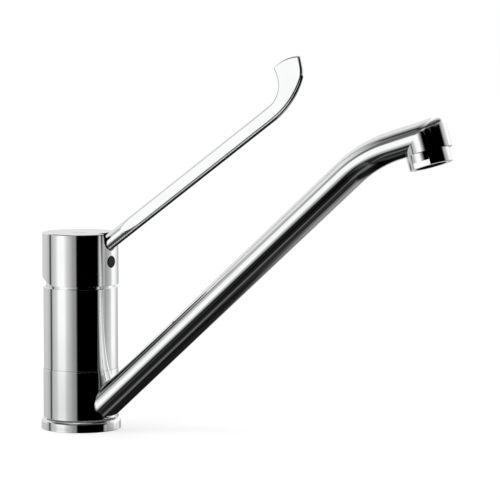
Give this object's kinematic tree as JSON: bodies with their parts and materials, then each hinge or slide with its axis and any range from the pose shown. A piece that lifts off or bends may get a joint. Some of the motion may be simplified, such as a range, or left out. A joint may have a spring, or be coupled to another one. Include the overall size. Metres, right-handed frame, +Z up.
{
  "type": "kitchen mixer tap",
  "caption": "Single-lever sink mixer with a round body, a swivelling upswept spout with aerator, and a long elbow lever on a tilting, turning cap.",
  "frame": {"origin": "centre of the underside of the body and base ring, where the tap stands on the worktop", "axes": "+Z up; +X the way the spout and the closed lever point; +Y to the right of someone who faces the spout"},
  "size_m": [0.3014, 0.0522, 0.2458],
  "materials": {
    "chrome": "bright chrome plate on cast brass",
    "rubber": "black seal rubber",
    "pale_acetal": "natural acetal, smooth",
    "grey_acetal": "grey moulded acetal",
    "black_acetal": "black moulded acetal",
    "ceramic": "lapped alumina ceramic",
    "steel": "stainless steel",
    "raw_brass": "turned brass",
    "black_plastic": "black, satin gloss"
  },
  "bodies": {
    "base": {"body": "chrome", "base_ring": "chrome", "deck_seal": "rubber", "lower_slide_ring": "pale_acetal", "upper_slide_ring": "pale_acetal", "lower_o_ring": "rubber", "upper_o_ring": "rubber", "cartridge_base": "grey_acetal", "cold_port_seal": "rubber", "hot_port_seal": "rubber", "outlet_port_seal": "rubber", "fixed_disc": "ceramic", "cartridge_housing": "pale_acetal", "thrust_washer": "black_acetal", "cartridge_nut": "chrome"},
    "spout": {"spout": "chrome", "aerator_ring": "chrome", "aerator_seal": "rubber", "aerator_insert": "grey_acetal", "aerator_mesh": "steel"},
    "guide": {"stem_guide": "grey_acetal", "pivot_pin": "steel"},
    "disc": {"moving_disc": "ceramic", "disc_carrier": "grey_acetal"},
    "lever": {"stem": "raw_brass", "lever_cap": "chrome", "lever": "chrome", "lever_screw": "steel", "cover_disc": "chrome", "grub_screw": "steel", "index_plug": "black_plastic"}
  },
  "joints": [
    {"name": "spout_swivel", "type": "hinge", "parent": "base", "child": "spout", "pos_m": [0, 0, 0.02355], "axis": [0, 0, 1], "continuous": true},
    {"name": "lever_turn", "type": "hinge", "parent": "base", "child": "guide", "pos_m": [0, 0, 0.088], "axis": [0, 0, 1], "range_deg": [-50, 50]},
    {"name": "lever_lift", "type": "hinge", "parent": "guide", "child": "lever", "pos_m": [0, 0, 0.092], "axis": [0, -1, 0], "range_deg": [0, 18]},
    {"name": "disc_slide", "type": "slide", "parent": "guide", "child": "disc", "axis": [1, 0, 0], "range_m": [0, 0.0051]}
  ],
  "couplings": [
    {"joint": "disc_slide", "follows": "lever_lift", "m_per_rad": 0.01613}
  ]
}
